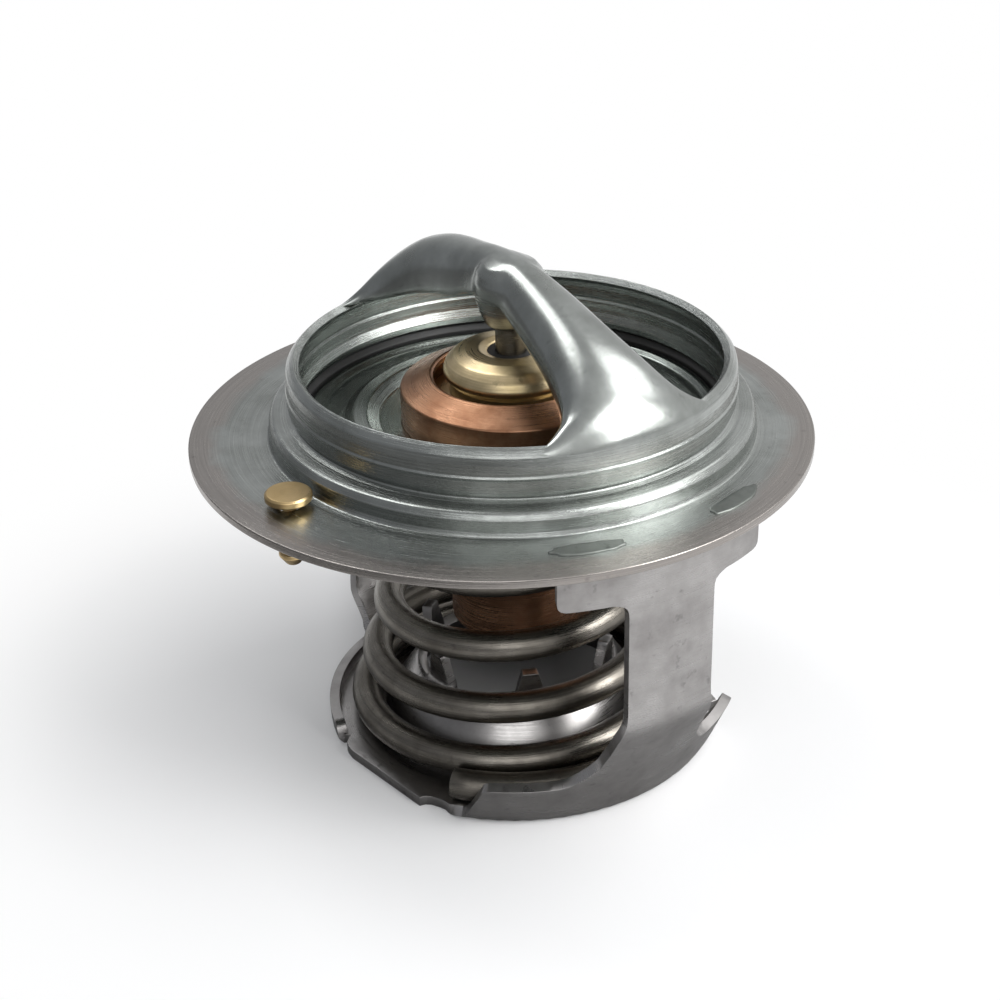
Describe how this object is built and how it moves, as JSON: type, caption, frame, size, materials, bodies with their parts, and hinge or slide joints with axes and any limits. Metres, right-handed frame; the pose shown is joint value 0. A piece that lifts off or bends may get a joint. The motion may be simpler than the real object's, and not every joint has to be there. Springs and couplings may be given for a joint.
{
  "type": "engine thermostat",
  "caption": "Wax-element coolant valve for an engine: round sheet-metal flange with a stepped collar and bridge, sprung dished valve, cage with legs, conical spring and a loose vent pin.",
  "frame": {"origin": "centre of the flange's outer circle, on the flange's upper face", "axes": "+Z is the flange's axis and points to the bridge, +X points to the cage's first leg, and the valve's axis lies 1.2 mm off the flange's centre along +Y"},
  "size_m": [0.056, 0.056, 0.0468],
  "materials": {
    "flange_steel": "satin zinc plate",
    "cage_steel": "dull zinc plate",
    "disc_steel": "bright zinc plate",
    "seal_rubber": "matte",
    "copper": "turned copper",
    "guide_brass": "satin",
    "sleeve_rubber": "matte",
    "wax": "waxy with metal powder",
    "piston_steel": "ground",
    "spring_steel": "drawn wire",
    "pin_brass": "bright"
  },
  "bodies": {
    "frame": {"flange_bridge": "flange_steel", "lower_frame": "cage_steel", "piston": "piston_steel", "main_spring": "spring_steel"},
    "valve": {"valve_disc": "disc_steel", "valve_seal": "seal_rubber", "capsule_case": "copper", "guide": "guide_brass", "wiper_ring": "seal_rubber", "rubber_sleeve": "sleeve_rubber", "wax_charge": "wax"},
    "jiggle_pin": {"jiggle_pin": "pin_brass"}
  },
  "joints": [
    {"name": "valve_opening", "type": "slide", "parent": "frame", "child": "valve", "axis": [0, 0, -1], "range_m": [0, 0.008], "stiffness_N_per_m": 6000, "springref_m": -0.008, "deforming": ["main_spring"]},
    {"name": "jiggle_pin_lift", "type": "slide", "parent": "frame", "child": "jiggle_pin", "axis": [0, 0, 1], "range_m": [0, 0.0031]}
  ]
}
